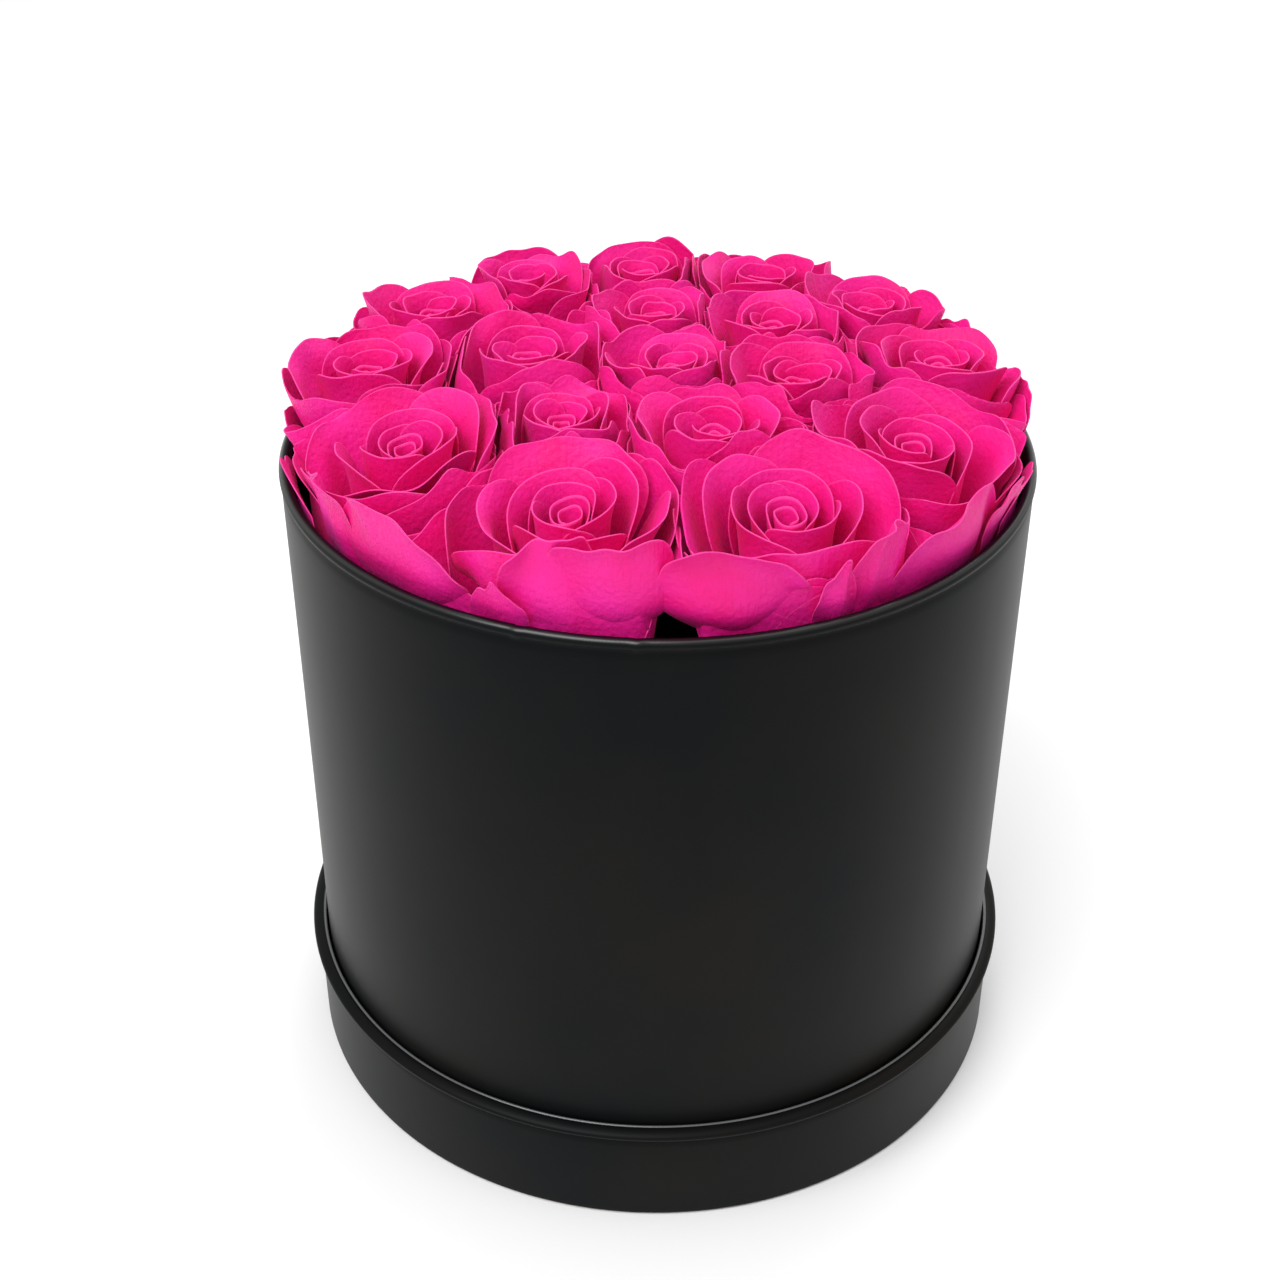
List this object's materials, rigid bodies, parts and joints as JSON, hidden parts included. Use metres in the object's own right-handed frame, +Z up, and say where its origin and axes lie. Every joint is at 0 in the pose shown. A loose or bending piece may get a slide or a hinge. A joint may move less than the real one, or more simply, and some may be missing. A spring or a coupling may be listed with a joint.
{
  "type": "flower box",
  "caption": "Round black paper-covered hat box standing in its upturned lid, filled with pink preserved roses set in dry foam.",
  "frame": {"origin": "centre of the lid's underside, on the surface the box stands on", "axes": "+Z up along the axis of the drum; -Y is the front, +X the right"},
  "size_m": [0.2102, 0.2102, 0.21],
  "materials": {
    "covering_paper": "satin",
    "lining_paper": "matte",
    "grey_board": "matte",
    "dry_foam": "matte",
    "rose_petals": "satin",
    "rose_greens": "matte"
  },
  "bodies": {
    "lid": {"lid_panel_cover": "covering_paper", "lid_panel": "grey_board", "lid_wall": "grey_board", "lid_rim_ring": "grey_board", "lid_covering": "covering_paper", "lid_lining": "lining_paper"},
    "drum": {"drum_base_cover": "covering_paper", "drum_base": "grey_board", "drum_tube": "grey_board", "drum_covering": "covering_paper", "drum_lining": "lining_paper"},
    "filling": {"foam_lower_disc": "dry_foam", "foam_upper_disc": "dry_foam", "foam_cover_sheet": "lining_paper", "rose_front_left": "rose_petals", "rose_front_right": "rose_petals", "rose_right_front": "rose_petals", "rose_right": "rose_petals", "rose_right_back": "rose_petals", "rose_back_right": "rose_petals", "rose_back": "rose_petals", "rose_back_left": "rose_petals", "rose_left_back": "rose_petals", "rose_left": "rose_petals", "rose_left_front": "rose_petals", "rose_inner_front_left": "rose_petals", "rose_inner_front_right": "rose_petals", "rose_inner_right": "rose_petals", "rose_inner_back_right": "rose_petals", "rose_inner_back": "rose_petals", "rose_inner_left": "rose_petals", "rose_centre": "rose_petals", "stem_front_left": "rose_greens", "stem_front_right": "rose_greens", "stem_right_front": "rose_greens", "stem_right": "rose_greens", "stem_right_back": "rose_greens", "stem_back_right": "rose_greens", "stem_back": "rose_greens", "stem_back_left": "rose_greens", "stem_left_back": "rose_greens", "stem_left": "rose_greens", "stem_left_front": "rose_greens", "stem_inner_front_left": "rose_greens", "stem_inner_front_right": "rose_greens", "stem_inner_right": "rose_greens", "stem_inner_back_right": "rose_greens", "stem_inner_back": "rose_greens", "stem_inner_left": "rose_greens", "stem_centre": "rose_greens"}
  },
  "joints": [
    {"name": "drum_lift", "type": "slide", "parent": "lid", "child": "drum", "axis": [0, 0, 1], "range_m": [0, 0.06]},
    {"name": "filling_lift", "type": "slide", "parent": "drum", "child": "filling", "axis": [0, 0, 1], "range_m": [0, 0.19]}
  ]
}
